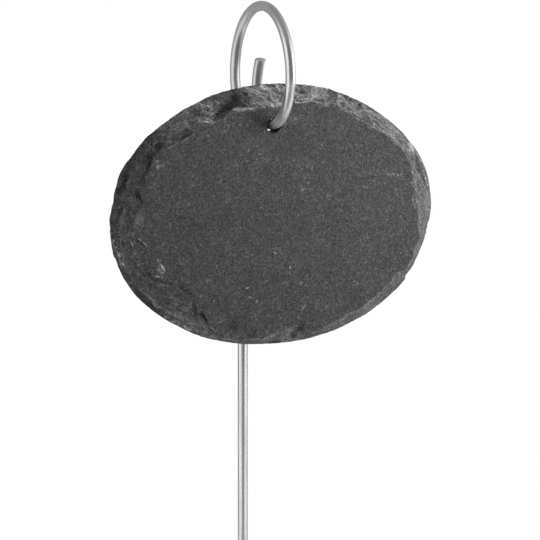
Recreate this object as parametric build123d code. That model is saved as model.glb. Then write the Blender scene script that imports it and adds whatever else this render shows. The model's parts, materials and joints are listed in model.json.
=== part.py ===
"""Plant label stake: a wire stake with a hooked top, and an oval slate tag that hangs on the hook.

Frame: origin at the centre of the stake's lower end, +Z up along the stake, and the tag's
written face towards -Y. All sizes are in millimetres and all angles in degrees.
"""
from math import acos, cos, degrees, hypot, radians, sin, sqrt
import os

from build123d import *

# Wire stake: one length of wire, bent in the plane x = 0. Bend radii are on the wire's centre line.
WIRE_D = 2.35
STRAIGHT_L = 265.0
KICK_BACK = 4.4
KICK_R = 15.8
ARCH_R = 15.8
FRONT_R = 11.1
CURL_R = 7.85
END_R = 13.0
END_TURN = 31.5
CUT_END_BREAK = 0.25

# Slate tag: an oval plate with a chipped edge. It is split by hand, so it is a little thicker at the
# left-hand end of the oval than at the right-hand end.
TAG_W = 80.5
TAG_H = 59.8
TAG_LEFT_T = 5.5
TAG_RIGHT_T = 4.5
TAG_TILT = 2.75
HOLE_DROP = 9.1
BACK_CHIP_DEPTH = 2.0
BACK_CHIP_RUN = 1.0

# How the tag hangs: the gap over the wire at the hole's tightest mouth, and the gap under it
HANG_GAP = 0.25
UNDER_GAP = 0.65

# Run of the chipped bevel on the written face, in from the edge, at even steps round the oval: from its
# right-hand end and counter-clockwise seen from the front, with a quarter turn in each row.
BEVEL_RUNS = [
    4.9, 5.2, 4.3, 3.7, 3.9, 4.0, 4.0, 3.9, 4.0, 4.1, 4.2, 4.4,
    4.6, 4.3, 4.0, 3.8, 4.2, 4.9, 5.2, 5.3, 4.5, 4.4, 5.3, 6.4,
    4.3, 5.6, 7.4, 7.6, 7.1, 7.9, 6.3, 3.6, 2.6, 2.7, 2.8, 2.9,
    3.3, 3.7, 3.7, 3.4, 3.1, 3.3, 3.5, 3.6, 3.4, 3.0, 3.3, 3.9,
]

# Derived places
WIRE_R = WIRE_D / 2
tag_t = (TAG_LEFT_T + TAG_RIGHT_T) / 2
edge_steps = len(BEVEL_RUNS)
kick_turn = degrees(acos(1 - KICK_BACK / (KICK_R + ARCH_R)))
arch_y = KICK_BACK - ARCH_R
arch_z = STRAIGHT_L + (KICK_R + ARCH_R) * sin(radians(kick_turn))
low_y = arch_y - ARCH_R + FRONT_R
low_z = arch_z - FRONT_R


def wire_top(bend_r):
    """Height of the wire's upper side over the hook's lowest point, where a bend leaves the hole."""
    return bend_r - sqrt((bend_r - WIRE_R) ** 2 - (tag_t / 2) ** 2)


# The hole's top clears the wire at both mouths, and its bottom clears the wire's lowest point
hole_top = max(wire_top(FRONT_R), wire_top(CURL_R)) + HANG_GAP
hole_bottom = -WIRE_R - UNDER_GAP
hole_r = (hole_top - hole_bottom) / 2
hole_z = low_z + (hole_top + hole_bottom) / 2

front_y = low_y - tag_t / 2
back_y = low_y + tag_t / 2
arris_y = back_y - BACK_CHIP_DEPTH


def make_wire_stake():
    """Straight stake, kick, arch, front bend, curl and free end, swept as one round wire."""
    run = Line((0, 0), (0, STRAIGHT_L))
    kick = JernArc(run @ 1, run % 1, KICK_R, -kick_turn)
    arch = JernArc(kick @ 1, kick % 1, ARCH_R, 180 + kick_turn)
    front = JernArc(arch @ 1, arch % 1, FRONT_R, 90)
    curl = JernArc(front @ 1, front % 1, CURL_R, 90)
    end = JernArc(curl @ 1, curl % 1, END_R, END_TURN)
    path = Plane.YZ * Wire([run, kick, arch, front, curl, end])
    wire = sweep(Circle(WIRE_R), path=path)
    cut_ends = wire.faces().filter_by(GeomType.PLANE)
    return chamfer(cut_ends.edges(), CUT_END_BREAK)


def oval_radius(place):
    """Radius of the tag's oval at a place, measured from the oval's centre."""
    along = radians(place - TAG_TILT)
    return 1 / hypot(2 * cos(along) / TAG_W, 2 * sin(along) / TAG_H)


def edge_ring(runs, y, thinning=0):
    """Corners of one ring of the tag, about the oval's centre, each set in from the oval by its run.

    The ring lies at y in the middle, and thinning is how far its left-hand end is behind its right-hand end.
    """
    corners = []
    for step, run in enumerate(runs):
        place = 360 * step / edge_steps
        reach = oval_radius(place) - run
        x = reach * cos(radians(place))
        z = reach * sin(radians(place))
        corners.append(Vector(x, y - thinning * x / TAG_W, z))
    return corners


def flat_face(*corners):
    """One flat face with the given corners."""
    return Face(Wire.make_polygon(corners, close=True))


def band(ring_a, ring_b):
    """Chip facets between two rings, two triangles for each step."""
    facets = []
    for step in range(edge_steps):
        after = (step + 1) % edge_steps
        facets.append(flat_face(ring_a[step], ring_a[after], ring_b[step]))
        facets.append(flat_face(ring_a[after], ring_b[after], ring_b[step]))
    return facets


def make_slate_tag():
    """Chipped oval plate, hung so that its centre of mass is straight under the hole."""
    front = edge_ring(BEVEL_RUNS, front_y)
    arris = edge_ring([0] * edge_steps, arris_y)
    back = edge_ring([BACK_CHIP_RUN] * edge_steps, back_y, TAG_LEFT_T - TAG_RIGHT_T)
    faces = [flat_face(*front), flat_face(*back), *band(front, arris), *band(arris, back)]
    plate = Solid(Shell(faces))
    top_edge = max(corner.Z for corner in arris)
    hang = Pos(-plate.center(CenterOf.MASS).X, 0, hole_z + HOLE_DROP - top_edge)
    hole = Pos(0, low_y, hole_z) * Rot(90, 0, 0) * Cylinder(hole_r, 2 * tag_t)
    return hang * plate - hole


def main():
    os.makedirs("parts", exist_ok=True)
    export_step(make_wire_stake(), "parts/wire_stake.step")
    export_step(make_slate_tag(), "parts/slate_tag.step")


main()
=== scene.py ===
"""Looks of the plant label stake: an oval slate tag with a hand-chipped edge hangs on a bent steel wire.

Shapes are worked out in millimetres in the CAD model's frame, and become metres as each mesh is made.
"""

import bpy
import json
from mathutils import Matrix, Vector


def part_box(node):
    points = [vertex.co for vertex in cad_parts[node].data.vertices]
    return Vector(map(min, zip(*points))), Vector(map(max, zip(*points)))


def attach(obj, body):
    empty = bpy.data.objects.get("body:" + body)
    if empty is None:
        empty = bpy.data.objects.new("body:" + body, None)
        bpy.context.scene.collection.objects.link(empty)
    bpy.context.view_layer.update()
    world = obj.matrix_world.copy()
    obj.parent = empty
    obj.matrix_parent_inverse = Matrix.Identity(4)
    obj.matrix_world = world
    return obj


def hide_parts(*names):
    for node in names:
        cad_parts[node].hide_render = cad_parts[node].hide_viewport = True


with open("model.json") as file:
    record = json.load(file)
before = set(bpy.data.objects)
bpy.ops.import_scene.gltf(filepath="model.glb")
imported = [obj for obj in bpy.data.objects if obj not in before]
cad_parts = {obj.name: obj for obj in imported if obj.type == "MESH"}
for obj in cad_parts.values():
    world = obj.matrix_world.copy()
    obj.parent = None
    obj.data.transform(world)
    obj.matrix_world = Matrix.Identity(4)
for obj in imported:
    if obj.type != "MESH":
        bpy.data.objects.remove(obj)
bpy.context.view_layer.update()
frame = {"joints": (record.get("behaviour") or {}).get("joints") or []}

import json
from math import acos, ceil, cos, hypot, pi, radians, sin, tan

import bpy
import numpy as np
from mathutils import Matrix, Vector

MM = 0.001

# Wire, as the CAD model bends it. Bend radii are on the wire's centre line.
WIRE_R = 1.175
STRAIGHT_L = 265.0
KICK_BACK = 4.4
KICK_R = 15.8
ARCH_R = 15.8
FRONT_R = 11.1
CURL_R = 7.85
END_R = 13.0
END_TURN = 31.5
CUT_END_BREAK = 0.25

# Mesh of the wire: sides, steps along it and in degrees round its bends, least angle of a sharp edge, dish in
# the lower end, and the free end's slanted cut with its burr
WIRE_SIDES = 40
WIRE_STEP = 5.0
BEND_STEP = 2.0
SHARP_ANGLE = 38.0
FOOT_DISH = 0.03
END_SLANT = 15.8
BURR_LIP = 0.06
BURR_REACH = 0.13
END_ROUNDING = 0.12

# Lengths along the wire: to the middle of the rear strand, whose right side gets painted shade, and to
# where the free end turns dull
REAR_LENGTH = 282.0
DULL_FROM = 358.0
DULL_TO = 362.0

# Tag: the oval, its thickness, how much thinner it gets from left to right, and the back's chipped edge
TAG_W = 80.5
TAG_H = 59.8
TAG_TILT = 2.75
TAG_T = 5.0
TAG_THINNING = 1.0
BACK_RUN = 1.0

# Hole, a little to the left of the hinge. Its front edge is worn back, apart from a lip about one angle.
HOLE_R = 1.868
HOLE_SHIFT = -0.25
MOUTH_BREAK = 0.2
LIP_ANGLE = 120.0
LIP_SPREAD = 40.0
LIP_SHARE = 2.7

# Splinters at the top of the rim: clock angle, spread, and how far they lean along the rim as they go in
SPLINTER_CLOCK = 97.0
SPLINTER_SPREAD = 17.0
SPLINTER_LEAN = 1.1

# Mesh of the tag: one grid of rings that runs from the arris over the face, through the hole and back
TRACK_STEPS = 7200
STATIONS = 800
RIM_RINGS = 46
MARGIN_RINGS = 12
FACE_RINGS = 12
HOLE_RINGS = 4
BACK_FACE_RINGS = 28
BACK_RIM_RINGS = 16

# Columns of noise over the tag's plane, more than its finest noise takes up
FACE_COLUMNS = 200

# Widths of the bands of rings: past the bevel, on the written side, there by the hole, with the hole's clock
# angle and spread, and on the back
BEVEL_MARGIN = 0.8
RIM_BAND = 10.0
RIM_BAND_AT_HOLE = 7.0
HOLE_CLOCK = 91.5
HOLE_SPREAD = 16.0
BACK_BAND = 5.0

# In the lists for the tag, clock angles go counter-clockwise from its right-hand end, a place is x and z
# about the oval's centre, and a line is the places of its two ends.

# Inner edge of the chipped bevel on the written face: clock angle and distance in from the oval. One chip
# facet lies between each two neighbours.
CHIP_RUNS = [
    (2, 5.0), (5, 5.5), (7, 5.1), (10, 5.3), (14, 4.5), (18, 4.1), (23, 3.5), (26.5, 3.4), (30, 3.8),
    (38, 4.0), (46, 3.9), (53, 3.8), (60.5, 3.1), (64, 3.9), (67.5, 3.8), (73, 3.3), (82, 3.7), (92, 4.9),
    (104, 4.7), (110, 4.2), (115, 4.0), (122, 4.6), (127, 5.0), (134, 5.2), (141, 4.9), (144.5, 5.0),
    (151, 3.7), (155.5, 3.1), (159.5, 3.6), (166, 5.4), (169, 4.0), (173, 6.2), (179, 4.6), (184, 4.4),
    (187, 5.4), (190.5, 7.3), (193.5, 7.2), (196.5, 6.1), (203, 4.9), (206.5, 6.3), (212, 8.2), (216, 8.5),
    (220, 8.0), (224, 5.9), (227, 4.3), (228.5, 5.3), (233.5, 3.3), (238, 2.3), (244, 2.2), (247, 3.4),
    (253, 1.6), (262, 1.7), (271, 3.4), (283, 4.1), (287.5, 1.8), (297, 2.5), (303, 2.9), (309, 3.1),
    (317, 3.1), (324.5, 3.35), (329, 3.55), (334.8, 4.0), (336.8, 2.4), (341, 2.6), (346.4, 3.3),
    (350.4, 2.8), (354.5, 4.5),
]

# How the rim is broken round the clock: clock angle, depth of the outline behind the face, share of the run
# that the steep outer slope takes, depth where that slope ends, height of the step up to the face, lightness
# against the face, flakiness, and how much the rim is scuffed. The lightness is partly the lighter fresh
# fracture and partly painted light, which makes the rim lighter towards the right where the key lamp falls,
# and painted shade, which makes it darker on the left, turned from the lamp.
RIM_ZONES = [
    (0, 3.0, 0.45, 1.5, 0.1, 1.26, 0.3, 0.4),
    (18, 3.0, 0.45, 1.5, 0.15, 1.04, 0.4, 0.6),
    (35, 3.0, 0.45, 1.6, 0.2, 0.88, 0.6, 0.8),
    (60, 3.0, 0.45, 1.6, 0.25, 0.88, 0.9, 1.0),
    (80, 3.0, 0.45, 1.6, 0.3, 0.84, 1.1, 1.3),
    (92, 3.0, 0.45, 1.5, 0.35, 0.82, 1.2, 1.7),
    (104, 3.0, 0.45, 1.5, 0.35, 0.86, 1.2, 1.6),
    (109, 3.0, 0.35, 2.0, 0.9, 1.0, 0.6, 0.25),
    (119, 3.0, 0.3, 1.9, 0.9, 0.92, 0.7, 0.15),
    (126, 3.0, 0.3, 1.7, 0.6, 0.95, 0.9, 0.37),
    (136, 3.0, 0.3, 1.6, 0.4, 0.95, 0.8, 0.32),
    (141, 3.0, 0.3, 1.6, 0.7, 0.89, 0.7, 0.27),
    (146, 3.0, 0.3, 1.5, 0.3, 0.85, 0.7, 0.27),
    (152, 3.0, 0.3, 1.7, 0.7, 0.73, 0.7, 0.22),
    (159, 3.0, 0.3, 1.7, 0.8, 0.72, 0.6, 0.22),
    (165, 2.8, 0.3, 1.5, 0.4, 0.71, 0.6, 0.22),
    (173, 2.5, 0.3, 1.3, 0.4, 0.75, 0.5, 0.27),
    (183, 2.2, 0.25, 1.0, 0.3, 0.88, 0.4, 0.37),
    (192, 2.0, 0.2, 0.8, 0.25, 1.0, 0.3, 0.2),
    (205, 1.9, 0.18, 0.7, 0.3, 1.06, 0.25, 0.15),
    (216, 1.8, 0.16, 0.6, 0.3, 1.1, 0.2, 0.15),
    (224, 1.8, 0.18, 0.7, 0.4, 1.1, 0.3, 0.35),
    (231, 1.8, 0.25, 0.7, 0.3, 1.08, 0.5, 0.5),
    (240, 1.9, 0.45, 0.8, 0.25, 1.25, 0.5, 0.45),
    (252, 2.0, 0.45, 0.8, 0.2, 1.5, 0.4, 0.35),
    (266, 2.2, 0.45, 1.0, 0.15, 1.85, 0.35, 0.3),
    (282, 2.6, 0.45, 1.2, 0.15, 1.85, 0.35, 0.3),
    (300, 3.0, 0.5, 1.4, 0.1, 1.68, 0.3, 0.25),
    (348, 3.0, 0.5, 1.5, 0.1, 1.46, 0.3, 0.3),
]
ARRIS, OUTER_SHARE, LEDGE, STEP, FRACTURE_AND_PAINTED_LIGHT, FLAKINESS, SCUFFING = range(1, 8)

# The rim's shards: how many big and small ones, and their length along the rim against their breadth, as
# clock angle and length
BIG_SHARDS = 150
SMALL_SHARDS = 600
SHARD_LENGTHS = [
    (0, 3.0), (40, 2.4), (62, 1.3), (80, 0.8), (97, 0.55), (114, 0.8), (128, 1.4), (240, 1.6), (280, 2.2),
    (320, 3.0),
]

# Where the outline leaves the oval: clock angle and distance outwards
OUTLINE_NICKS = [
    (0, 0.05), (8, 0.2), (16, 0.35), (20, 0.3), (24, 0), (32, 0), (37, -0.15), (44, -0.05), (53, 0),
    (60, 0.1), (66, 0.3), (72, 0.15), (80, 0.1), (92, 0.1), (100, 0.2), (116, 0.25), (122, 0.15),
    (126, 0.05), (136, 0.05), (141, -0.05), (149, 0.2), (158, 0.1), (164, 0.45), (168, 0.1), (172, -0.15),
    (176, -0.1), (180, 0.25), (184, -0.05), (188, 0.1), (192, 0.3), (198, 0.5), (205, 0.5), (212, 0.35),
    (220, 0.15), (226, 0), (236, 0.1), (244, -0.05), (252, -0.15), (268, -0.35), (280, -0.25), (285, -0.1),
    (294, -0.15), (301, 0.05), (308, 0), (315, 0.1), (322, 0.05), (330, 0.25), (334.4, 0.3), (335.6, -0.15),
    (340, 0), (346, -0.3), (352, -0.3), (355.2, -0.45), (356.4, -0.15),
]

# Cliffs on the rim, where a thick flake broke away: line, width of the wall, and drop. The high side is on
# the left hand on the way from the first end to the second. Below each edge the rim gets painted shade, and
# along its top a painted light line.
RIM_CLIFFS = [
    (-8.5, 27.7, -15.0, 22.7, 1.4, 0.8), (-21.5, 19.3, -24.6, 17.7, 0.9, 0.7),
    (-28.6, 17.6, -29.8, 15.6, 0.6, 0.4), (-30.0, 17.0, -31.0, 15.4, 0.5, 0.3),
    (-31.0, 14.2, -32.3, 10.8, 0.6, 0.6), (-35.4, 12.1, -38.4, 5.8, 0.6, 0.6),
    (-34.7, 6.7, -33.2, 4.1, 0.4, 0.4), (-37.6, 3.7, -39.3, 0.5, 0.5, 0.5),
    (-39.3, 0.5, -39.1, -2.5, 0.5, 0.3), (-34.8, -15.5, -29.2, -20.8, 0.35, 0.4),
    (-20.6, -19.9, -20.2, -21.6, 0.25, 0.4), (-18.8, -21.6, -17.7, -23.9, 0.35, 0.5),
    (-10.6, -24.8, -12.2, -26.7, 1.5, 0.25), (-5.6, -26.6, -7.6, -28.3, 1.3, 0.25),
    (6.4, -25.6, 4.1, -28.2, 1.5, 0.6),
]

# Flat facets of the rim that are turned from the light: middle line, half width, and how much darker they are
DARK_FACETS = [
    (-31.3, 14.5, -32.2, 11.3, 0.5, 0.45), (-32.2, 11.1, -32.9, 9.6, 0.3, 0.3),
    (-32.8, 9.4, -33.1, 7.3, 0.25, 0.2), (-36.1, 10.7, -36.8, 9.8, 0.5, 0.3),
    (-36.8, 8.9, -37.4, 7.1, 0.45, 0.4), (-37.6, 6.9, -38.1, 5.8, 0.3, 0.4),
    (-38.4, 5.6, -38.6, 4.7, 0.25, 0.3), (-34.7, 6.7, -34.2, 5.3, 0.35, 0.45),
    (-38.6, 1.8, -39.2, -0.5, 0.3, 0.35), (-7.7, 27.3, -9.9, 27.1, 0.5, 0.4),
    (-9.4, 26.3, -11.8, 24.9, 0.65, 0.45), (-11.8, 24.9, -13.8, 23.4, 0.5, 0.45),
    (-13.7, 23.4, -15.0, 22.9, 0.35, 0.3), (-14.8, 26.9, -12.8, 27.3, 0.35, 0.3),
    (-23.1, 18.8, -22.2, 19.3, 0.35, 0.4), (-19.2, -21.6, -18.5, -22.5, 0.35, 0.35),
    (-17.7, -23.9, -17.3, -24.7, 0.2, 0.4), (-20.4, -25.0, -19.9, -25.2, 0.25, 0.45),
    (-16.1, -25.8, -13.7, -27.1, 0.25, 0.2), (-12.9, -26.0, -12.1, -26.4, 0.35, 0.25),
    (-11.4, -24.6, -10.9, -26.4, 1.0, 0.2), (-6.8, -27.3, -6.3, -28.1, 0.7, 0.25),
    (5.9, -26.0, 4.6, -27.8, 0.85, 0.35), (-0.9, -29.2, 1.2, -29.1, 0.35, 0.8),
]

# How much lighter the outer slope is where its edge is rubbed: clock angle and gain
EDGE_GAINS = [
    (182, 0), (190, 0.5), (202, 0.5), (207, 0), (219, 0), (223, 0.6), (232, 0.8), (244, 0.4), (256, 0),
]

# Strongest light lines on the rim: line, half width, and the lightness they add, against the face
RIM_LINES = [
    (-2.9, 29.4, -1.9, 28.9, 0.38, 5.5), (-1.9, 28.9, -0.5, 28.9, 0.35, 4.5),
    (-6.0, 28.4, -4.6, 27.8, 0.22, 3.0), (-4.6, 27.8, -2.9, 26.9, 0.2, 2.5),
    (-0.4, 29.2, 0.7, 28.3, 0.22, 2.5), (0.7, 28.3, 1.1, 27.5, 0.2, 2.5),
    (-6.4, 26.0, -3.4, 25.7, 0.4, 2.4), (-3.4, 25.7, -0.7, 26.0, 0.4, 2.6),
    (-0.7, 26.0, 1.4, 26.7, 0.35, 2.6), (-1.3, 25.1, 0.9, 25.7, 0.3, 5.0),
    (-7.0, 24.6, -5.9, 24.9, 0.2, 4.5), (4.8, 27.4, 5.8, 26.8, 0.22, 4.8),
    (4.3, 25.9, 5.2, 25.7, 0.22, 4.5), (5.2, 25.7, 6.3, 25.9, 0.22, 4.5), (6.3, 25.9, 8.7, 26.3, 0.22, 3.0),
    (10.4, 26.2, 11.3, 25.2, 0.3, 1.5), (11.3, 25.2, 12.8, 24.8, 0.35, 1.5),
    (14.6, 25.2, 16.4, 23.8, 0.2, 1.6), (16.4, 23.8, 18.1, 23.1, 0.2, 1.8),
    (18.1, 22.8, 25.8, 18.8, 0.14, 1.7), (25.8, 18.8, 30.8, 15.0, 0.14, 1.7),
    (25.5, 22.5, 29.6, 19.7, 0.2, 1.1), (29.6, 19.7, 32.4, 16.6, 0.2, 1.1),
    (30.8, 15.5, 33.4, 11.8, 0.2, 1.2), (34.4, 15.3, 35.1, 14.2, 0.5, 7.0),
    (35.4, 14.2, 37.4, 11.5, 0.2, 2.2), (37.4, 11.5, 38.7, 8.6, 0.2, 1.8),
    (37.8, 9.1, 38.4, 7.3, 0.22, 3.0), (38.4, 7.3, 39.2, 5.4, 0.25, 3.0),
    (33.7, 10.8, 35.2, 9.6, 0.25, 2.4), (35.2, 9.6, 37.3, 6.5, 0.25, 2.2), (33.7, 6.7, 35.0, 4.6, 0.2, 1.6),
    (35.0, 4.6, 37.2, 2.6, 0.2, 1.6), (34.7, 4.2, 34.2, 3.1, 0.25, 1.2), (34.2, 3.1, 34.7, 0.8, 0.25, 1.2),
    (-27.2, 16.2, -20.9, 19.0, 0.15, 0.9), (-33.8, -15.6, -29.0, -20.0, 0.15, 0.9),
    (-3.7, -28.3, 0.9, -26.5, 0.2, 0.7), (0.9, -26.5, 6.0, -25.4, 0.2, 0.7),
]

# Scuffed patches: middle line, half width, strength
SCUFFS = [
    (-18.8, 25.7, -15.6, 23.8, 1.6, 0.8), (-19.6, 22.3, -16.0, 22.0, 0.9, 0.8),
    (-14.5, 26.0, -13.3, 26.0, 0.8, 0.7), (-21.8, 24.4, -21.6, 24.2, 0.6, 0.8),
    (-22.3, 21.5, -21.8, 21.0, 0.8, 0.5), (-26.4, 18.4, -27.0, 17.8, 0.8, 0.5),
    (-27.9, 20.8, -27.4, 20.4, 0.6, 0.5), (-10.8, 24.4, -5.8, 24.7, 0.6, 1.2),
    (-5.8, 24.9, 2.0, 25.8, 0.7, 1.2), (-29.4, 11.9, -28.6, 12.2, 0.9, 0.35),
    (-29.1, -10.9, -28.9, -12.4, 1.0, 0.8), (-35.7, -3.2, -35.4, -3.8, 0.7, 0.5),
    (-39.9, -4.4, -38.0, -10.0, 0.35, 1.2), (-28.0, -21.6, -21.0, -25.6, 0.45, 1.3),
    (-34.8, 0.6, -34.0, 0.0, 1.6, 0.45), (-30.6, 1.2, -29.8, 1.2, 0.6, 0.3),
    (28.5, 8.6, 30.6, 8.2, 1.0, 0.4),
]

# Light scratches and specks on the written side: place of the middle, length, angle, strength
LIGHT_MARKS = [
    (29.3, 8.7, 0.9, -40, 0.8), (30.3, 8.4, 0.7, 30, 0.8), (3.0, -11.9, 0.9, 60, 1.0),
    (26.3, -9.5, 0.5, 0, 0.6), (-7.8, -16.3, 1.1, 25, 0.8), (6.0, 10.5, 0.5, 0, 0.6),
    (11.3, 12.0, 0.9, 15, 0.6), (6.5, -21.2, 2.4, 50, 0.5), (-28.5, -10.8, 2.5, -55, 1.3),
    (-29.6, -9.3, 1.3, -51, 0.5), (-29.5, -11.3, 1.0, -56, 0.7), (-29.8, -12.8, 1.5, -3, 0.9),
    (-28.7, -12.9, 0.9, -72, 0.6), (-28.7, -12.0, 1.2, -8, 0.7), (-7.0, -18.4, 1.2, -20, 0.6),
    (-5.3, -19.4, 1.0, 50, 0.6), (5.8, -15.7, 1.0, 60, 0.6), (7.1, -16.2, 0.8, 40, 0.6),
    (-0.8, -8.5, 1.3, -50, 0.6), (-34.1, -4.3, 1.4, -24, 0.5), (-32.8, -5.4, 2.2, -45, 0.6),
    (-29.6, 13.1, 1.2, 70, 0.4), (-30.0, 13.4, 1.0, -35, 0.4), (-30.9, 10.2, 1.2, 20, 0.3),
    (-27.5, -7.2, 0.7, 10, 0.4), (-35.8, -5.3, 2.0, -55, 0.6), (-30.0, -19.6, 2.8, -47, 0.8),
    (-7.9, 24.6, 3.4, 6, 1.0), (-1.3, 25.3, 0.8, 20, 1.6), (-26.0, 16.6, 4.0, 24, 0.16),
    (-22.6, 18.2, 3.0, 28, 0.2), (-30.7, -18.2, 7.4, -45, 0.2), (-35.6, -3.0, 1.1, -70, 0.7),
    (-39.4, -4.1, 0.8, 90, 0.5), (-39.1, -5.0, 0.7, -80, 0.5), (-29.7, 12.0, 1.2, -75, 0.5),
    (-18.2, 25.8, 1.2, -54, 1.0), (-16.5, 25.3, 1.6, -30, 1.1), (-17.3, 22.5, 1.2, -18, 1.2),
    (-17.5, 21.9, 2.1, -13, 1.2), (-16.4, 22.2, 0.9, 80, 0.9), (-15.6, 23.7, 0.9, 49, 0.6),
    (-12.6, 25.8, 0.6, 45, 0.8), (-13.9, 26.1, 0.7, -27, 0.6), (-12.5, 27.5, 1.0, -32, 0.5),
    (-21.6, 24.3, 0.5, 53, 0.8), (-18.8, 25.8, 1.4, 30, 0.4), (-27.2, -22.3, 1.4, -42, 0.9),
    (-25.6, -23.3, 1.2, -18, 1.3), (-24.1, -24.2, 1.4, -48, 0.9), (-22.6, -24.7, 1.6, -40, 1.1),
    (-37.7, -9.8, 1.2, -61, 1.2), (-39.6, -4.5, 0.9, -63, 0.9), (-38.6, -7.7, 1.2, -68, 1.2),
    (-39.3, -6.0, 0.8, -56, 1.0), (-14.1, -23.7, 4.8, 19, 0.15),
]

# Painted shade of cracks, and crisp cores of the cliffs' painted shade, on the written side: place of the
# middle, length, angle, strength
CRACK_SHADES = [
    (-31.8, 12.8, 3.2, 74, 0.35), (-37.2, 7.8, 3.0, 68, 0.35), (-33.8, 4.8, 2.4, -76, 0.55),
    (-22.6, 18.9, 3.6, 26, 0.5), (-37.8, 3.3, 1.8, 65, 0.7), (-38.9, 0.8, 2.2, 80, 0.4),
    (-28.9, 16.4, 2.0, 52, 0.5), (-30.6, 17.0, 2.0, 38, 0.4), (-20.8, -20.7, 2.0, -66, 0.6),
    (-18.3, -22.6, 3.3, -58, 0.7), (-29.5, -13.5, 3.4, -22, 0.4), (-26.1, -14.5, 4.0, -11, 0.35),
    (-23.2, -15.6, 3.0, -35, 0.35), (-21.5, -17.2, 2.4, -53, 0.4), (-32.7, -17.0, 4.2, -45, 0.4),
    (-29.9, -19.9, 4.2, -45, 0.4),
]

# Half widths of the marks, and how far they reach behind the written face
LIGHT_MARK_HALF = 0.24
CRACK_SHADE_HALF = 0.34
MARK_DEPTH = 4.0

# Light hairs of the split stone: shift and scale of the noise whose middle level they follow, their width,
# and shift, scale and range of the noise that breaks them into bits
HAIRS = [
    ((31, 7, 13), 0.9, 0.06, (0, 0, 0), 1.3, (0.58, 0.68, 0.0, 2.0)),
    ((5, 17, 3), 0.8, 0.02, (11, 29, 19), 0.45, (0.58, 0.66, 0.0, 2.6)),
    ((0, 0, 0), 2.2, 0.13, (0, 0, 0), 1.7, (0.6, 0.4, 0.35, 1.0)),
]

# Materials: colours, and depths of the bumps
SLATE_COLOUR = (0.0584, 0.0589, 0.0599)
STEEL_COLOUR = (0.62, 0.62, 0.615)
FLOOR_COLOUR = (0.82, 0.82, 0.82, 1)
WHITE = (1, 1, 1, 1)
SLATE_BUMP = 0.06
WIRE_BUMP = 0.02

# Camera of the photograph, and how its picture is measured
CAMERA_AZIMUTH = -23.907
CAMERA_ELEVATION = 5.399
CAMERA_DISTANCE = 1000.0
CAMERA_AIM_RIGHT = 6.361
CAMERA_AIM_Z = 235.186
FOCAL_PIXELS = 4300.0
PICTURE_PIXELS = 540.0
SENSOR_MM = 36.0

# Studio, in metres and degrees. Azimuth 0 is in front of the tag and 90 on its right.
STUDIO_CENTRE = (0.0, -0.015, 0.26)
AMBIENT = 0.38
FLOOR_R = 0.62
FLOOR_SIDES = 96

# Soft square lamps: name, azimuth, elevation, distance, size and power
LAMPS = [
    ("key", 36, 22, 0.45, 0.16, 1.75),
    ("fill", -65, 25, 0.9, 0.6, 0.6),
]

# Sheets that only reflections see, bent round the stake: name, azimuths, distance and height of the two
# edges, and brightness
CARDS = [
    ("card_rear", (97, 243), (0.7, -0.4), (0.7, 1.0), 0.42),
    ("card_rear_low", (68, 97), (0.7, -0.3), (0.7, 0.16), 0.5),
    ("card_left", (-112, -55), (0.7, -0.3), (0.7, 0.7), 1.35),
    ("card_front_high", (-53, 30), (0.7, 0.16), (0.7, 0.95), 0.08),
    ("card_front_low", (-38, 12), (0.7, -0.3), (0.7, 0.16), 0.34),
    ("card_right_high", (38, 100), (0.7, 0.16), (0.7, 0.6), 2.3),
    ("card_right_low", (14, 64), (0.7, -0.3), (0.7, 0.16), 1.15),
    ("card_over", (0, 360), (0.001, 0.95), (0.75, 0.95), 0.3),
    ("card_floor_left", (-140, -58), (0.02, 0.002), (0.62, 0.002), 1.05),
    ("card_floor_front", (-58, 18), (0.02, 0.002), (0.62, 0.002), 0.27),
    ("card_floor_right", (18, 105), (0.02, 0.002), (0.62, 0.002), 1.2),
]
CARD_STEPS = 12

# Where the tag is: its oval's centre and written face in the frame, and the hole about the oval's centre
tag_low, tag_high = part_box("slate_tag")
centre_x = (tag_low.x + tag_high.x) / 2 / MM
centre_z = (tag_low.z + tag_high.z) / 2 / MM
front_y = tag_low.y / MM
hinge = frame["joints"][0]["pos_m"]
hole_x = hinge[0] / MM - centre_x + HOLE_SHIFT
hole_z = hinge[2] / MM - centre_z


def ease(t):
    """Eases a share from 0 to 1 in and out."""
    t = np.clip(t, 0, 1)
    return t * t * (3 - 2 * t)


def bell(away, width):
    """1 at no distance, and falling off softly over a width."""
    return np.exp(-((away / width) ** 2))


def lattice_noise(u, v, columns, seed):
    """Smooth noise from -1 to 1 over cells of one unit, which repeats after so many columns."""
    u, v = np.broadcast_arrays(u, v - np.min(v))
    grid = np.random.default_rng(seed).uniform(-1, 1, (columns, int(v.max()) + 2))
    column = np.floor(u).astype(int)
    row = np.floor(v).astype(int)
    across = ease(u - column)
    between = ease(v - row)
    here = column % columns
    after = (column + 1) % columns
    low = grid[here, row] * (1 - across) + grid[after, row] * across
    high = grid[here, row + 1] * (1 - across) + grid[after, row + 1] * across
    return low * (1 - between) + high * between


def new_object(name, data):
    """Adds a mesh, a lamp or a camera to the scene as an object."""
    thing = bpy.data.objects.new(name, data)
    bpy.context.scene.collection.objects.link(thing)
    return thing


def smooth_mesh(name, points, faces):
    """Mesh in metres from points in millimetres, shaded smooth."""
    mesh = bpy.data.meshes.new(name)
    mesh.from_pydata((np.asarray(points) * MM).tolist(), [], faces)
    mesh.shade_smooth()
    return mesh


def set_attribute(mesh, name, values):
    """Stores one value, or one row of three, for each point of a mesh."""
    values = np.asarray(values, np.float32)
    kind, field = ("FLOAT", "value") if values.ndim == 1 else ("FLOAT_VECTOR", "vector")
    mesh.attributes.new(name, kind, "POINT").data.foreach_set(field, values.ravel())


# Slate tag


def oval_radius(places):
    """Radius of the oval at clock angles in degrees."""
    angle = np.radians(places - TAG_TILT)
    return 1 / np.hypot(2 * np.cos(angle) / TAG_W, 2 * np.sin(angle) / TAG_H)


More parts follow.
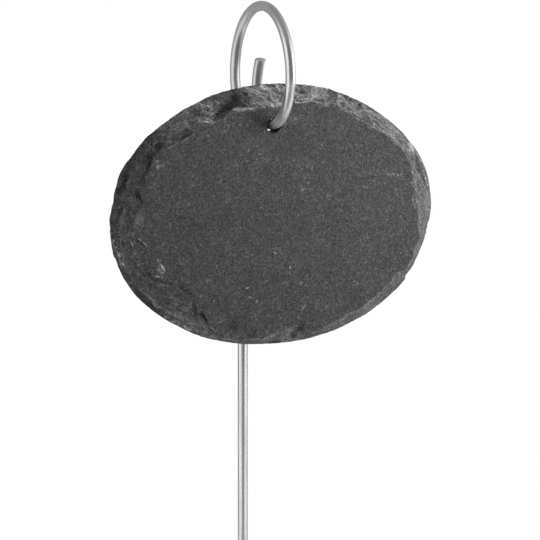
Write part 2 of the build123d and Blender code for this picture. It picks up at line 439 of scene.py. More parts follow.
def rim_track():
    """Clock angles, x, z and lengths along the oval, at small steps round it."""
    places = np.linspace(0, 360, TRACK_STEPS + 1)
    reach = oval_radius(places)
    x = reach * np.cos(np.radians(places))
    z = reach * np.sin(np.radians(places))
    return places, x, z, np.concatenate([[0], np.cumsum(np.hypot(np.diff(x), np.diff(z)))])


# Lengths along the oval and clock angles of the mesh's stations
track_clock, track_x, track_z, track_length = rim_track()
lap = track_length[-1]
along = (np.arange(STATIONS) / STATIONS * lap)[:, None]
clock = np.interp(along, track_length, track_clock)


def oval_place(distance):
    """x and z of the oval at distances along it."""
    return [np.interp(distance % lap, track_length, track) for track in (track_x, track_z)]


def round_clock(pairs):
    """Values at the stations, in straight lines between (clock, value) pairs."""
    places, values = zip(*pairs)
    return np.interp(clock, places, values, period=360)


def zone(column):
    """One column of RIM_ZONES at the stations."""
    return round_clock([(row[0], row[column]) for row in RIM_ZONES])


def rim_noise(inset, cell_along, cell_in, seed, slant=0.0):
    """Noise on the rim in cells of a real size, which lean along the rim by slant as they go in."""
    columns = max(3, round(lap / cell_along))
    return lattice_noise((along + slant * inset) / lap * columns, inset / cell_in, columns, seed)


def face_noise(x, z, cell, seed):
    """Noise over the plane of the tag in cells of a real size."""
    return lattice_noise(x / cell + FACE_COLUMNS / 2, z / cell, FACE_COLUMNS, seed)


def facet_shares():
    """For each station, which chip facet it is in and its share of the way across that facet."""
    places = np.array([place for place, run in CHIP_RUNS])
    facet = np.searchsorted(places, clock, side="right") - 1
    start = places[facet]
    span = (np.roll(places, -1)[facet] - start) % 360
    return facet % len(places), ((clock - start) % 360) / span


# The rim at each station: radius of the outline, run of the bevel, run of the step up to the face, length of
# the shards, and lean of the splinters
nicks = round_clock(OUTLINE_NICKS)
ragged = 0.02 + 0.05 * zone(FLAKINESS)
outline = oval_radius(clock) + nicks + ragged * (rim_noise(0.0, 2.3, 1, 13) + rim_noise(0.0, 0.8, 1, 14))
even_run = round_clock(CHIP_RUNS) + nicks
run = even_run + 0.16 * rim_noise(0.0, 1.7, 1, 11) + 0.08 * rim_noise(0.0, 0.7, 1, 12)
step_wall = 0.25 + 0.7 * zone(STEP)
shard_length = round_clock(SHARD_LENGTHS)
lean = SPLINTER_LEAN * bell(clock - SPLINTER_CLOCK, SPLINTER_SPREAD)


def bevel_profile(inset, arris):
    """Depth of the plain bevel: steep outer slope, inner slope or ledge, and a step up to the face."""
    outer = zone(OUTER_SHARE) * run
    ledge = zone(LEDGE)
    step = zone(STEP)
    inner = np.maximum(run - step_wall, outer + 0.3)
    depth = arris + (ledge - arris) * inset / outer
    depth = np.where(inset > outer, ledge + (step - ledge) * (inset - outer) / (inner - outer), depth)
    depth = np.where(inset > inner, step * (run - inset) / (run - inner), depth)
    return np.where(inset > run, 0.0, depth)


def shards(inset, count, seed):
    """Splits the rim into flat shards that run along it, or across it on a slant at the top.

    Gives each point its shard's height and lightness, and the distance to the shard's edge.
    """
    draw = np.random.default_rng(seed)
    ragged_along = along + lean * inset + 0.4 * rim_noise(inset, 1.5, 1.0, seed + 1)
    ragged_in = inset + 0.35 * rim_noise(inset, 1.3, 0.9, seed + 2)
    first = np.full(inset.shape, lap)
    second = np.full(inset.shape, lap)
    height = np.zeros_like(inset)
    light = np.zeros_like(inset)
    for _ in range(count):
        middle, into = draw.uniform(0, lap), draw.uniform(-0.5, 6.5)
        level, tilt_along, tilt_in, tint = draw.uniform(-1, 1, 4)
        sideways = ((ragged_along - middle + lap / 2) % lap - lap / 2) / shard_length
        inwards = ragged_in - into
        away = np.hypot(sideways, inwards)
        nearest = away < first
        second = np.where(nearest, first, np.minimum(second, away))
        first = np.where(nearest, away, first)
        height = np.where(nearest, 0.5 * level + tilt_along * sideways + tilt_in * inwards, height)
        light = np.where(nearest, tint, light)
    return height, light, (second - first) / 2


def cleave(depth, inset, layer, share):
    """Breaks a slope into the slate's layers, each with a ragged edge along the rim."""
    waver = depth + 0.2 * rim_noise(inset, 4.0, 1.4, 21) + 0.12 * rim_noise(inset, 1.2, 0.7, 22)
    level = waver / layer
    stepped = layer * (np.floor(level) + ease((level - np.floor(level) - 0.55) / 0.35))
    return depth + share * (stepped - waver)


def beside(x, z, x1, z1, x2, z2):
    """Places along a line and to its left hand, and the line's length."""
    length = hypot(x2 - x1, z2 - z1)
    ahead_x, ahead_z = (x2 - x1) / length, (z2 - z1) / length
    ahead = (x - x1) * ahead_x + (z - z1) * ahead_z
    left = (z - z1) * ahead_x - (x - x1) * ahead_z
    return ahead, left, length


def apart(x, z, *ends):
    """Distance to a line between two ends."""
    ahead, left, length = beside(x, z, *ends)
    return np.hypot(np.maximum(np.maximum(-ahead, ahead - length), 0), left)


def strongest(x, z, lines, share):
    """Highest strength of the lines at each point; share gives what is left at a distance from a line."""
    total = np.zeros_like(x)
    for *ends, half_width, strength in lines:
        total = np.maximum(total, strength * share(apart(x, z, *ends), half_width))
    return total


def cliffs(inset, x, z):
    """Depth and painted shade of the cliffs on the rim: a steep wall under a sharp edge, then a slow rise.

    The painted shade lies below the edge, and a painted light line runs along its top.
    """
    waver = 0.3 * rim_noise(inset, 1.8, 1.3, 81) + 0.18 * rim_noise(inset, 0.7, 0.6, 82)
    patchy = 0.65 + 0.3 * rim_noise(inset, 1.3, 0.8, 83) + 0.4 * rim_noise(inset, 0.7, 0.5, 84)
    depth = np.zeros_like(x)
    shade = np.zeros_like(x)
    for *ends, width, drop in RIM_CLIFFS:
        ahead, left, length = beside(x, z, *ends)
        below = 0.5 - (left + waver) / width
        fade = ease((ahead + 0.7) / 1.4) * ease((length + 0.7 - ahead) / 1.4)
        wall = np.clip(below / 0.8, 0, 1) * np.clip((4.0 - below) / 3.2, 0, 1)
        # Painted shade below the sharp edge, and a painted light line along its top
        dark = np.clip(below / 0.2 + 0.5, 0, 1) * ease((1.6 - below) / 1.0)
        lit = bell(below + 0.4, 0.35)
        depth = np.maximum(depth, drop * fade * wall)
        strength = fade * min(1, 2 * drop)
        darker = np.maximum(shade, strength * dark * patchy)
        shade = np.where(strength * dark > 0.02, darker, shade - 0.3 * strength * lit)
    return depth, shade


def facet_shade(inset, x, z):
    """How much darker each point is for the facets that are turned from the light."""
    waver = 0.1 * rim_noise(inset, 1.4, 0.9, 85)
    return strongest(x, z, DARK_FACETS, lambda away, half: ease((half + waver - away) / 0.3 + 0.5))


def scuffed(inset, x, z):
    """How much each point is scuffed: the rim by its zone, and the patches."""
    amount = 0.4 * zone(SCUFFING) * ease((run - inset) / 0.3 + 0.5) * ease(inset / 0.6)
    return np.maximum(amount, strongest(x, z, SCUFFS, lambda away, half: ease(1.3 - away / half)))


def light_lines(inset, big_edge, small_edge):
    """Thin light lines on the rim: edges of shards, and the worn inner edge of the bevel."""
    kept = ease(0.6 + 1.2 * rim_noise(inset, 4.0, 2.0, 44))
    edges = np.maximum(bell(big_edge, 0.18), 0.8 * kept * bell(small_edge, 0.12))
    inner = ease(0.6 + rim_noise(0.0, 3.0, 1, 45)) * bell(inset - run + 0.15, 0.18)
    return np.maximum(edges * ease((run - inset) / 0.3), inner)


def strong_lines(inset, x, z):
    """Lightness that the strongest light lines add, a little ragged and broken."""
    ragged_x = x + 0.15 * rim_noise(inset, 1.3, 0.9, 91)
    ragged_z = z + 0.15 * rim_noise(inset, 1.3, 0.9, 92)
    light = strongest(ragged_x, ragged_z, RIM_LINES, bell)
    return light * (0.8 + 0.4 * rim_noise(inset, 0.9, 0.5, 93))


def rim_relief(inset, x, z):
    """Depth of the written face's rim behind the face, and its lightness, at insets from the outline."""
    arris = zone(ARRIS) + 0.12 * rim_noise(0.0, 6.0, 1, 31) + 0.06 * rim_noise(0.0, 1.5, 1, 32)
    facet, share = facet_shares()
    draw = np.random.default_rng(33)
    scoop = draw.uniform(0.0, 0.3, len(CHIP_RUNS))[facet]
    facet_light = draw.uniform(-0.08, 0.08, len(CHIP_RUNS))[facet]
    flaky = zone(FLAKINESS)
    big, big_light, big_edge = shards(inset, BIG_SHARDS, 36)
    small, small_light, small_edge = shards(inset, SMALL_SHARDS, 47)
    cliff, shade = cliffs(inset, x, z)
    chipped = ease((run - inset) / 0.4)
    hollow = scoop * 4 * share * (1 - share) * np.sin(pi * np.clip(inset / run, 0, 1))
    depth = bevel_profile(inset, arris) + hollow
    depth = depth + chipped * (0.06 + 0.14 * flaky) * big + chipped * (0.03 + 0.22 * flaky) * small
    depth = cleave(depth, inset, 0.42, 0.6 * chipped)
    depth = depth + chipped * (0.02 + 0.08 * flaky) * rim_noise(inset, 0.8, 0.6, 35, -0.5) + cliff
    settle = ease(inset / 0.5)
    depth = np.maximum(depth * settle + arris * (1 - settle), -0.05)

    patch = 0.10 * rim_noise(inset, 4.0, 1.6, 41) + 0.10 * rim_noise(inset, 7.0, 0.5, 43)
    crumbs = 0.2 * flaky ** 2 * rim_noise(inset, 0.6, 0.45, 46)
    flakes = facet_light + (0.05 + 0.06 * flaky) * big_light + (0.05 + 0.20 * flaky) * small_light + crumbs
    # The zones' lightness is partly fresh fracture and partly painted light and shade: lighter right, darker
    # left
    tone = 1 + ease((run - inset) / 0.3 + 0.5) * (zone(FRACTURE_AND_PAINTED_LIGHT) * (1 + patch + flakes) - 1)
    # Painted shade in the crease at the foot of the step up to the face
    crease_shade = bell(inset - run + 0.5 * step_wall, 0.3 + 0.4 * step_wall)
    tone = tone * (1 + round_clock(EDGE_GAINS) * ease((zone(OUTER_SHARE) * run - inset) / 0.4 + 0.5))
    # Painted shade of the cliffs, and of the crease at the step up to the face
    tone = tone * (1 - 0.4 * shade) * (1 - 0.3 * crease_shade * np.clip(2 * zone(STEP) - 0.3, 0, 1))
    tone = tone * (1 - facet_shade(inset, x, z))
    lines = 2.4 * zone(SCUFFING) * light_lines(inset, big_edge, small_edge)
    return depth, tone + np.maximum(lines, strong_lines(inset, x, z))


def face_relief(x, z):
    """Slow waves of the split face."""
    return 0.05 * face_noise(x, z, 9.0, 51) + 0.03 * face_noise(x, z, 3.5, 52)


def back_ledges(x, z):
    """How many of the two broken layers of the back are left at each point."""
    field = face_noise(x, z, 17.0, 63) + 0.35 * face_noise(x, z, 5.0, 64) + 0.12 * face_noise(x, z, 2.0, 65)
    return ease((field - 0.15) / 0.12) + ease((field + 0.35) / 0.12)


def back_depth(x, z):
    """Depth of the back behind the written face: a taper, and the waves and ledges of a split stone."""
    waves = 0.10 * face_noise(x, z, 11.0, 61) + 0.05 * face_noise(x, z, 4.0, 62)
    return TAG_T - TAG_THINNING * x / TAG_W + waves - 0.16 * back_ledges(x, z)


def back_tone(x, z):
    """Lightness of the back: each layer has its own, and their broken edges are lighter."""
    layers = back_ledges(x, z)
    return 0.9 + 0.12 * layers + 1.6 * np.abs(layers - np.round(layers))


def back_rim(inset, x, z, arris):
    """Depth of the back's chipped rim, and how far each point is down its slope."""
    back_run = BACK_RUN * (1 + 0.3 * rim_noise(0.0, 4.0, 1, 71) + 0.12 * rim_noise(0.0, 1.4, 1, 72))
    slope = np.clip(1 - inset / back_run, 0, 1) ** 0.8
    back = back_depth(x, z)
    return back + (arris - back) * slope + 0.05 * rim_noise(inset, 1.4, 0.9, 73), slope


def hole_ring(x, z, radius):
    """x and z of a ring round the hole, in the directions of the given points and a little ragged."""
    away = np.arctan2(z - hole_z, x - hole_x)
    radius = radius + 0.03 * np.sin(3 * away + 0.6) + 0.02 * np.sin(7 * away)
    return hole_x + radius * np.cos(away), hole_z + radius * np.sin(away)


def spread(start, end, shares):
    """Columns that go from start to end in the given shares."""
    return start + (end - start) * shares


def rim_insets():
    """Distances in from the outline of the written face's outer rings, which are closer on the bevel."""
    away = (clock - HOLE_CLOCK + 180) % 360 - 180
    band = RIM_BAND - (RIM_BAND - RIM_BAND_AT_HOLE) * bell(away, HOLE_SPREAD)
    bevel = even_run + BEVEL_MARGIN
    close = bevel * np.linspace(0, 1, RIM_RINGS + 1)
    return np.concatenate([close, spread(bevel, band, np.linspace(0, 1, MARGIN_RINGS + 1)[1:])], 1)


def rim_places(inset):
    """x and z of points at distances in from the outline."""
    reach = outline - inset
    angle = np.radians(clock)
    return reach * np.cos(angle), reach * np.sin(angle)


def tag_grid():
    """Rings of the tag: x, depth and z about the oval's centre, lightness, scuffing and inset."""
    inset = rim_insets()
    x, z = rim_places(inset)
    relief, tone = rim_relief(inset, x, z)
    depth = relief + face_relief(x, z)
    front_rim = x, depth, z, tone, scuffed(inset, x, z), inset

    last_x, last_z = x[:, -1:], z[:, -1:]
    turn = np.degrees(np.arctan2(last_z - hole_z, last_x - hole_x))
    lip = LIP_SHARE * bell(turn - LIP_ANGLE, LIP_SPREAD)
    mouth_x, mouth_z = hole_ring(last_x, last_z, HOLE_R + MOUTH_BREAK * (1 - lip))
    shares = np.linspace(0, 1, FACE_RINGS + 1)[1:]
    face_x = spread(last_x, mouth_x, shares)
    face_z = spread(last_z, mouth_z, shares)
    face = face_x, face_relief(face_x, face_z), face_z, 1, scuffed(RIM_BAND, face_x, face_z), RIM_BAND

    wall_x, wall_z = hole_ring(mouth_x, mouth_z, HOLE_R)
    wall_end = back_depth(wall_x, wall_z) - MOUTH_BREAK
    wall = wall_x, spread(MOUTH_BREAK, wall_end, np.linspace(0, 1, HOLE_RINGS)), wall_z, 0.8, 0, RIM_BAND

    back_inset = np.ones_like(clock) * np.linspace(0, BACK_BAND, BACK_RIM_RINGS + 1)
    x, z = rim_places(back_inset)
    rim_depth, slope = back_rim(back_inset, x, z, depth[:, :1])
    rim = x, rim_depth, z, back_tone(x, z) + 0.5 * slope, 0.4 * slope, -back_inset
    rim_outwards = [values[:, :0:-1] for values in rim]

    mouth_x, mouth_z = hole_ring(mouth_x, mouth_z, HOLE_R + MOUTH_BREAK)
    shares = np.linspace(0, 1, BACK_FACE_RINGS + 1)[:-1]
    back_x = spread(mouth_x, x[:, -1:], shares)
    back_z = spread(mouth_z, z[:, -1:], shares)
    back = back_x, back_depth(back_x, back_z), back_z, back_tone(back_x, back_z), 0, -BACK_BAND

    sections = [np.broadcast_arrays(*section) for section in (front_rim, face, wall, back, rim_outwards)]
    return [np.concatenate(values, 1) for values in zip(*sections)]


def ring_faces(stations, rings):
    """Quads of a grid of points that closes on itself both ways."""
    here = np.arange(stations * rings).reshape(stations, rings)
    ahead = np.roll(here, -1, 0)
    corners = here, ahead, np.roll(ahead, -1, 1), np.roll(here, -1, 1)
    return np.stack(corners, 2).reshape(-1, 4).tolist()


def make_tag():
    """Slate tag as one closed mesh that holds each point's lightness, scuffing and place on the rim."""
    x, depth, z, tone, scuff, inset = tag_grid()
    points = np.stack([x + centre_x, depth + front_y, z + centre_z], 2)
    mesh = smooth_mesh("slate_tag_chipped", points.reshape(-1, 3), ring_faces(*x.shape))
    # Painted light: the slate is made lighter towards the right and the top, where the key lamp falls
    painted_light_slope = 1 + 0.20 * x / (TAG_W / 2) + 0.08 * z / (TAG_H / 2)
    crowding = np.cumsum(1 / shard_length)
    crowded = np.interp(along + lean * inset, along[:, 0], lap * crowding / crowding[-1], period=lap)
    lean_x, lean_z = oval_place(crowded)
    set_attribute(mesh, "tone", (tone * painted_light_slope).ravel())
    set_attribute(mesh, "scuff", scuff.ravel())
    set_attribute(mesh, "rim", np.stack([lean_x, inset * (0.45 + shard_length), lean_z], 2).reshape(-1, 3))
    return new_object("slate_tag_chipped", mesh)


# Wire stake

# Angles of the points of a ring round the wire
wire_turn = np.arange(WIRE_SIDES) / WIRE_SIDES * 2 * pi


def wire_bends():
    """Radius and turn in degrees of each bend, in order up the stake; a turn to the front is positive."""
    kick = acos(1 - KICK_BACK / (KICK_R + ARCH_R)) * 180 / pi
    return [(KICK_R, -kick), (ARCH_R, 180 + kick), (FRONT_R, 90), (CURL_R, 90), (END_R, END_TURN)]


def low_point_length():
    """Length along the wire to the hook's lowest point, where the tag hangs."""
    return STRAIGHT_L + sum(radius * radians(abs(turn)) for radius, turn in wire_bends()[:3])


def wire_line():
    """Rows of y, z, heading and length along the wire's centre line."""
    rows = [(0.0, z, pi / 2, z) for z in np.arange(0, STRAIGHT_L, WIRE_STEP)]
    y, z, heading, length = 0.0, STRAIGHT_L, pi / 2, STRAIGHT_L
    rows.append((y, z, heading, length))
    for radius, turn in wire_bends():
        steps = ceil(abs(turn) / BEND_STEP)
        step = radians(turn) / steps
        chord = 2 * radius * sin(abs(step) / 2)
        for _ in range(steps):
            y += chord * cos(heading + step / 2)
            z += chord * sin(heading + step / 2)
            heading += step
            length += radius * abs(step)
            rows.append((y, z, heading, length))
    return rows


def wire_ring(y, z, heading, radii, past=0.0, slant=0.0):
    """Points round the centre line, square to its heading or on a slant, and past the given point."""
    side = radii * np.cos(wire_turn)
    inward = radii * np.sin(wire_turn)
    past = past + inward * tan(radians(slant))
    y = y - inward * sin(heading) + past * cos(heading)
    z = z + inward * cos(heading) + past * sin(heading)
    return np.stack([side, y, z], 1)


def end_profile():
    """Rows of distance past the cut end and radius, for the free end with its shear burr on one side."""
    burr = BURR_LIP + BURR_REACH * np.clip(np.cos(wire_turn), 0, 1) ** 2
    rounding = END_ROUNDING * np.clip(-np.cos(wire_turn), 0, 1)
    return [
        (-0.5, WIRE_R),
        (-0.25, WIRE_R + 0.35 * burr - 0.3 * rounding),
        (-0.1, WIRE_R + burr - rounding),
        (0.0, WIRE_R - 0.1 + burr - 2 * rounding),
        (0.0, 0.7 * WIRE_R),
    ]


def tube_faces(rings):
    """Faces of a tube of so many rings, closed at its two ends by the two points that come after them."""
    here = np.arange(rings * WIRE_SIDES).reshape(rings, WIRE_SIDES)
    after = np.roll(here, -1, 1)
    faces = np.stack([here[:-1], after[:-1], after[1:], here[1:]], 2).reshape(-1, 4).tolist()
    foot = np.full(WIRE_SIDES, here.size)
    ends = [after[0], here[0], foot], [here[-1], after[-1], foot + 1]
    return faces + np.stack([np.stack(end, 1) for end in ends], 1).reshape(-1, 3).tolist()


def make_wire():
    """Wire stake as one closed tube, with the place of each point on the straightened wire."""
    line = wire_line()
    rings, lengths = [], []

    def add(y, z, heading, length, radii, *shift):
        rings.append(wire_ring(y, z, heading, radii, *shift))
        lengths.append(length)

    y, z, heading, length = line[0]
    add(y, z, heading, length, 0.6 * WIRE_R)
    add(y, z, heading, length, WIRE_R - CUT_END_BREAK)
    add(y, z + CUT_END_BREAK, heading, length + CUT_END_BREAK, WIRE_R)
    # The slanted rings of the free end take the place of the line's last three points
    for y, z, heading, length in line[1:-3]:
        add(y, z, heading, length, WIRE_R)
    y, z, heading, length = line[-1]
    for past, radii in end_profile():
        add(y, z, heading, length + past, radii, past, END_SLANT)
    points = np.concatenate([np.concatenate(rings), [[0, 0, FOOT_DISH], [0, y, z]]])
    mesh = smooth_mesh("wire_stake_drawn", points, tube_faces(len(rings)))
    mesh.set_sharp_from_angle(angle=radians(SHARP_ANGLE))
    drawn = [(WIRE_R * cos(a), WIRE_R * sin(a), length) for length in lengths for a in wire_turn]
    set_attribute(mesh, "drawn", drawn + [(0, 0, lengths[0]), (0, 0, lengths[-1])])
    return new_object("wire_stake_drawn", mesh)


# Materials


class Graph:
    """Adds nodes to one node tree, each with values or links at its inputs."""

    def __init__(self, tree):
        self.tree = tree
        tree.nodes.clear()

    def add(self, kind, inputs=None, **settings):
        """Shader node of a kind with the given settings."""
        node = self.tree.nodes.new("ShaderNode" + kind)
        for name, value in settings.items():
            setattr(node, name, value)
        for name, value in (inputs or {}).items():
            if isinstance(value, bpy.types.NodeSocket):
                self.tree.links.new(value, node.inputs[name])
            else:
                node.inputs[name].default_value = value
        return node

    def math(self, operation, first, second=0.0):
        """Result of an operation on one or two numbers."""
        return self.add("Math", {0: first, 1: second}, operation=operation).outputs[0]

    def times(self, first, second):
        """Product of two numbers."""
        return self.math("MULTIPLY", first, second)

    def plus(self, first, second):
        """Sum of two numbers."""
        return self.math("ADD", first, second)

    def away(self, value, level):
        """How far a value is from a level."""
        return self.math("ABSOLUTE", self.math("SUBTRACT", value, level))

    def vector(self, operation, first, second):
        """Result of an operation on two vectors."""
        return self.add("VectorMath", {0: first, 1: second}, operation=operation).outputs[0]

    def attribute(self, name, output="Fac"):
        """Value or vector that the mesh holds at each point."""
        return self.add("Attribute", attribute_name=name).outputs[output]

    def stretch(self, place, scales):
        """Place with each axis scaled."""
        return self.vector("MULTIPLY", place, scales)

    def tint(self, colour, level):
        """Colour made lighter or darker by a level."""
        return self.add("VectorMath", {0: colour, "Scale": level}, operation="SCALE").outputs[0]

    def line(self, value, level, width):
        """1 where a value has a level, down to 0 where it is off by the width."""
        return self.spread(self.away(value, level), 0.0, width, 1.0, 0.0)

    def noise(self, place, scale, detail=2.0, roughness=0.5):
        """Noise of about one feature in 1 / scale of the place's unit."""
        inputs = {"Vector": place, "Scale": scale, "Detail": detail, "Roughness": roughness}
        return self.add("TexNoise", inputs).outputs["Fac"]

    def spread(self, value, low, high, new_low, new_high):
        """Maps a range of a value to another range, and keeps it there."""
        inputs = {0: value, 1: low, 2: high, 3: new_low, 4: new_high}
        return self.add("MapRange", inputs).outputs[0]

    def glow(self, strength):
        """White light of a strength."""
        return self.add("Emission", {"Color": WHITE, "Strength": strength}).outputs[0]

    def bump(self, height, strength, depth):
        """Normals of a bumpy surface, with the depth of its bumps in millimetres."""
        inputs = {"Height": height, "Strength": strength, "Distance": depth * MM}
        return self.add("Bump", inputs).outputs[0]


def new_material(name):
    """Material with an empty node graph."""
    material = bpy.data.materials.new(name)
    material.use_nodes = True
    return material, Graph(material.node_tree)


def finish_material(graph, shader):
    """Links a shader to the material's output."""
    graph.add("OutputMaterial", {"Surface": shader})


def mark_mask(graph, place, marks, half_width):
    """Strength of the given marks on the written side, at a place in millimetres."""
    total = 0.0
    for x, z, length, angle, strength in marks:
        centre = (x + centre_x, front_y, z + centre_z)
        away = graph.vector("SUBTRACT", place, centre)
        inputs = {"Vector": away, "Angle": radians(angle)}
        turned = graph.add("VectorRotate", inputs, rotation_type="Y_AXIS").outputs[0]
        scaled = graph.vector("DIVIDE", turned, (0.5 * length, MARK_DEPTH, half_width))
        reach = graph.add("VectorMath", {0: scaled}, operation="LENGTH").outputs["Value"]
        total = graph.math("MAXIMUM", graph.spread(reach, 0.3, 1.0, strength, 0.0), total)
    return total


def hair_lines(graph, place):
    """Strength of the light hairs of the split stone."""
    total = 0.0
    for shift, scale, width, bit_shift, bit_scale, bit_range in HAIRS:
        hair = graph.line(graph.noise(graph.vector("ADD", place, shift), scale, 1.0), 0.5, width)
        bits = graph.noise(graph.vector("ADD", place, bit_shift), bit_scale, 1.0)
        total = graph.math("MAXIMUM", graph.times(hair, graph.spread(bits, *bit_range)), total)
    return total


def splinter_lines(graph):
    """Light splinters and scale edges of scuffed stone, laid out by the place on the rim."""
    rim = graph.attribute("rim", "Vector")
    ridges = graph.noise(graph.stretch(rim, (0.45, 0.45, 0.45)), 1.0, 2.0, 0.6)
    inputs = {"Vector": graph.stretch(rim, (0.45, 0.7, 0.45)), "Scale": 1.0}
    cells = graph.add("TexVoronoi", inputs, feature="DISTANCE_TO_EDGE").outputs["Distance"]
    scales = graph.spread(cells, 0.0, 0.13, 1.0, 0.0)
    scaly = graph.spread(graph.noise(rim, 0.25, 1.0), 0.42, 0.6, 0.0, 1.0)
    splinters = graph.math("MAXIMUM", graph.line(ridges, 0.5, 0.06), graph.times(scales, scaly))
    return graph.times(splinters, graph.attribute("scuff"))


def slate_lightness(graph, place, grain):
    """Lightness of the slate: grain, hairs, slow mottling, painted shade of cracks, light scratches and
    splinters.
    """
    hairs = graph.times(hair_lines(graph, place), 1.15)
    light = graph.plus(graph.spread(grain, 0.32, 0.72, 0.05, 1.3), hairs)
    light = graph.times(light, graph.attribute("tone"))
    mottle = graph.noise(place, 0.16, 2.0)
    light = graph.times(light, graph.spread(mottle, 0.3, 0.7, 0.93, 1.07))
    # Painted shade of cracks and of the cliffs' cores, broken into bits
    gaps = graph.spread(graph.noise(place, 1.1, 1.0), 0.35, 0.6, 0.4, 1.0)
    crack_shade = graph.times(mark_mask(graph, place, CRACK_SHADES, CRACK_SHADE_HALF), gaps)
    light = graph.times(light, graph.math("SUBTRACT", 1.0, crack_shade))
    scratches = mark_mask(graph, place, LIGHT_MARKS, LIGHT_MARK_HALF)
    light = graph.plus(light, graph.times(scratches, graph.spread(grain, 0.3, 0.7, 2.0, 7.0)))
    return graph.plus(light, graph.times(splinter_lines(graph), 2.6))


def slate_material():
    """Dark split slate with a matt grain."""
    material, graph = new_material("slate")
    place = graph.stretch(graph.add("TexCoord").outputs["Object"], (1 / MM, 1 / MM, 1 / MM))
    grain = graph.noise(place, 4.2, 2.0, 0.6)
    height = graph.plus(grain, graph.times(graph.noise(place, 0.55, 3.0), 1.2))
    shader = graph.add("BsdfPrincipled", {
        "Base Color": graph.tint(SLATE_COLOUR, slate_lightness(graph, place, grain)),
        "Roughness": graph.spread(grain, 0.2, 0.8, 0.62, 0.82),
        "Specular IOR Level": 0.2,
        "Normal": graph.bump(height, 0.6, SLATE_BUMP),
    }).outputs[0]
    finish_material(graph, shader)
    return material


def wire_lightness(graph, place, lines, from_tag, from_rear):
    """Lightness of the wire: fine lines, dark pits, and streaks that are strongest near the tag.

    The right side of the rear strand, and the wire where it sits in the hole, get painted shade.
    """
    pits = graph.noise(graph.stretch(place, (1.6, 1.6, 0.9)), 1.0, 1.0)
    streaks = graph.noise(graph.stretch(place, (3.0, 3.0, 0.06)), 1.0, 2.0, 0.6)
    faint = graph.spread(from_tag, 3.5, 9.0, 0.55, 0.88)
    strong = graph.spread(from_tag, 3.5, 9.0, 1.6, 1.15)
    streaks = graph.spread(streaks, 0.35, 0.65, faint, strong)
    marks = graph.times(graph.spread(pits, 0.74, 0.80, 1.0, 0.6), streaks)
    light = graph.times(graph.spread(lines, 0.3, 0.7, 0.93, 1.06), marks)
    right = graph.add("SeparateXYZ", {0: place}).outputs["X"]
    # Painted shade on the right side of the rear strand
    rear_shade = graph.spread(right, 0.0, 0.5, 0.95, 0.6)
    light = graph.times(light, graph.spread(from_rear, 10.0, 20.0, rear_shade, 1.0))
    # Painted shade on the wire where it sits in the hole
    return graph.times(light, graph.spread(from_tag, 2.0, 5.2, 0.3, 1.0))


def wire_roughness(graph, place, lines, from_tag, from_rear, length):
    """Roughness of the wire: dull patches and lines, duller by the tag, on the rear strand and at the end."""
    patches = graph.noise(graph.stretch(place, (0.5, 0.5, 0.25)), 1.0, 3.0, 0.6)
    rough = 0.0
    for value, *ranges in (
        (patches, 0.3, 0.7, 0.22, 0.31),
        (lines, 0.3, 0.7, -0.015, 0.015),
        (from_tag, 3.0, 9.0, 0.2, 0.0),
        (from_rear, 10.0, 20.0, 0.08, 0.0),
        (length, DULL_FROM, DULL_TO, 0.0, 0.1),
    ):
        rough = graph.plus(rough, graph.spread(value, *ranges))
    return rough


def wire_material():
    """Drawn steel with fine marks along it, which turns dull where the tag rubs and gets painted shade in the
    hole.
    """
    material, graph = new_material("wire")
    place = graph.attribute("drawn", "Vector")
    length = graph.add("SeparateXYZ", {0: place}).outputs["Z"]
    from_tag = graph.away(length, low_point_length())
    from_rear = graph.away(length, REAR_LENGTH)
    lines = graph.noise(graph.stretch(place, (4.0, 4.0, 0.1)), 1.0, 3.0, 0.6)
    shader = graph.add("BsdfPrincipled", {
        "Base Color": graph.tint(STEEL_COLOUR, wire_lightness(graph, place, lines, from_tag, from_rear)),
        "Metallic": graph.spread(from_tag, 5.0, 13.0, 0.05, 0.85),
        "Roughness": wire_roughness(graph, place, lines, from_tag, from_rear, length),
        "Normal": graph.bump(lines, 0.2, WIRE_BUMP),
    }).outputs[0]
    finish_material(graph, shader)
    return material


def floor_material():
    """Pale matt floor that fades to the white of the background away from the object."""
    material, graph = new_material("pale_floor")
    place = graph.add("TexCoord").outputs["Object"]
    reach = graph.add("VectorMath", {0: place}, operation="LENGTH").outputs["Value"]
    seen = graph.add("LightPath").outputs["Is Camera Ray"]
    fade = graph.times(graph.spread(reach, 0.35 * FLOOR_R, 0.95 * FLOOR_R, 0.0, 1.0), seen)
    matt = graph.add("BsdfDiffuse", {"Color": FLOOR_COLOUR}).outputs[0]
    shader = graph.add("MixShader", {0: fade, 1: matt, 2: graph.glow(1.0)}).outputs[0]
    finish_material(graph, shader)
    return material


def card_material(level):
    """Even grey or bright sheet."""
    material, graph = new_material("card")
    finish_material(graph, graph.glow(level))
    return material


# Studio


def direction(azimuth, elevation):
    """Unit vector towards an azimuth and an elevation."""
    a, e = radians(azimuth), radians(elevation)
    return Vector((sin(a) * cos(e), -cos(a) * cos(e), sin(e)))


def to_right(azimuth):
    """Level unit vector to the right of what looks back from an azimuth."""
    return Vector((cos(radians(azimuth)), sin(radians(azimuth)), 0))


def facing(azimuth, elevation, place):
    """Matrix of what stands at a place and looks back from an azimuth and an elevation."""
    back = direction(azimuth, elevation)
    right = to_right(azimuth)
    matrix = Matrix((right, back.cross(right), back)).transposed().to_4x4()
    matrix.translation = place
    return matrix


def add_card(name, azimuths, first_edge, second_edge, level):
    """Bent sheet between two edges, each at a distance and a height, that only reflections see."""
    bends = np.linspace(*azimuths, CARD_STEPS + 1)
    points = []
    for reach, height in (first_edge, second_edge):
        points += [direction(azimuth, 0) * reach + Vector((0, 0, height)) for azimuth in bends]
    across = len(bends)
    faces = [(step, step + 1, step + 1 + across, step + across) for step in range(CARD_STEPS)]
    mesh = bpy.data.meshes.new(name)
    mesh.from_pydata(points, [], faces)
    mesh.materials.append(card_material(level))
    card = new_object(name, mesh)
    for ray in ("camera", "diffuse", "transmission", "shadow"):
        setattr(card, f"visible_{ray}", False)


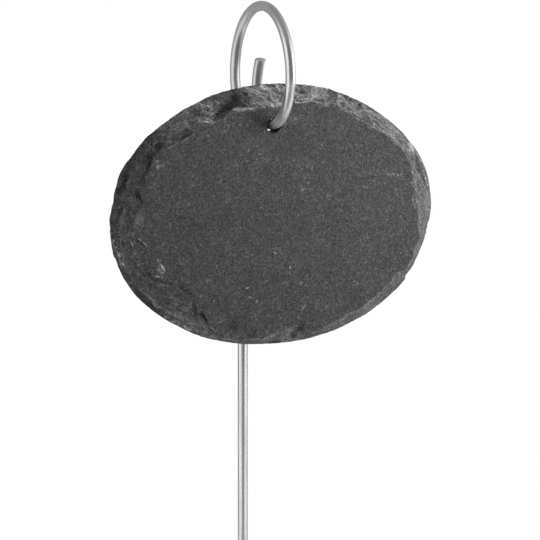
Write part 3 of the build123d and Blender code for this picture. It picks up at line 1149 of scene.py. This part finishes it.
def add_lamp(name, azimuth, elevation, reach, size, power):
    """Soft square lamp for matt surfaces. What the wire reflects is on the cards."""
    light = bpy.data.lights.new(name, "AREA")
    light.size = size
    light.energy = power
    lamp = new_object(name, light)
    place = Vector(STUDIO_CENTRE) + direction(azimuth, elevation) * reach
    lamp.matrix_world = facing(azimuth, elevation, place)
    lamp.visible_camera = False
    lamp.visible_glossy = False


def add_floor():
    """Round pale floor under the stake."""
    turn = np.arange(FLOOR_SIDES) / FLOOR_SIDES * 2 * pi
    points = [(FLOOR_R * cos(a), FLOOR_R * sin(a), 0) for a in turn]
    mesh = bpy.data.meshes.new("studio_floor")
    mesh.from_pydata(points, [], [tuple(range(FLOOR_SIDES))])
    mesh.materials.append(floor_material())
    new_object("studio_floor", mesh)


def set_world():
    """White behind everything and in reflections, and a plainer grey as light on the object."""
    world = bpy.data.worlds.new("studio")
    bpy.context.scene.world = world
    world.use_nodes = True
    graph = Graph(world.node_tree)
    ray = graph.add("LightPath").outputs
    shown = graph.math("MAXIMUM", ray["Is Camera Ray"], ray["Is Glossy Ray"])
    shown = graph.math("MAXIMUM", shown, ray["Is Transmission Ray"])
    strength = graph.spread(shown, 0.0, 1.0, AMBIENT, 1.0)
    background = graph.add("Background", {"Color": WHITE, "Strength": strength}).outputs[0]
    graph.add("OutputWorld", {"Surface": background})


def set_camera():
    """Camera at the photograph's angle."""
    data = bpy.data.cameras.new("camera")
    data.sensor_width = SENSOR_MM
    data.lens = FOCAL_PIXELS * SENSOR_MM / PICTURE_PIXELS
    camera = new_object("camera", data)
    aim = Vector((0, 0, CAMERA_AIM_Z)) + to_right(CAMERA_AZIMUTH) * CAMERA_AIM_RIGHT
    place = (aim + direction(CAMERA_AZIMUTH, CAMERA_ELEVATION) * CAMERA_DISTANCE) * MM
    camera.matrix_world = facing(CAMERA_AZIMUTH, CAMERA_ELEVATION, place)
    bpy.context.scene.camera = camera


def add_piece(piece, material, body, node):
    """Gives a piece its material, and puts it on its body in place of its CAD node."""
    piece.data.materials.append(material)
    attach(piece, body)
    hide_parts(node)


add_piece(make_tag(), slate_material(), "tag", "slate_tag")
add_piece(make_wire(), wire_material(), "stake", "wire_stake")

add_floor()
for lamp in LAMPS:
    add_lamp(*lamp)
for card in CARDS:
    add_card(*card)
set_world()
set_camera()
bpy.context.scene.view_settings.view_transform = "Standard"
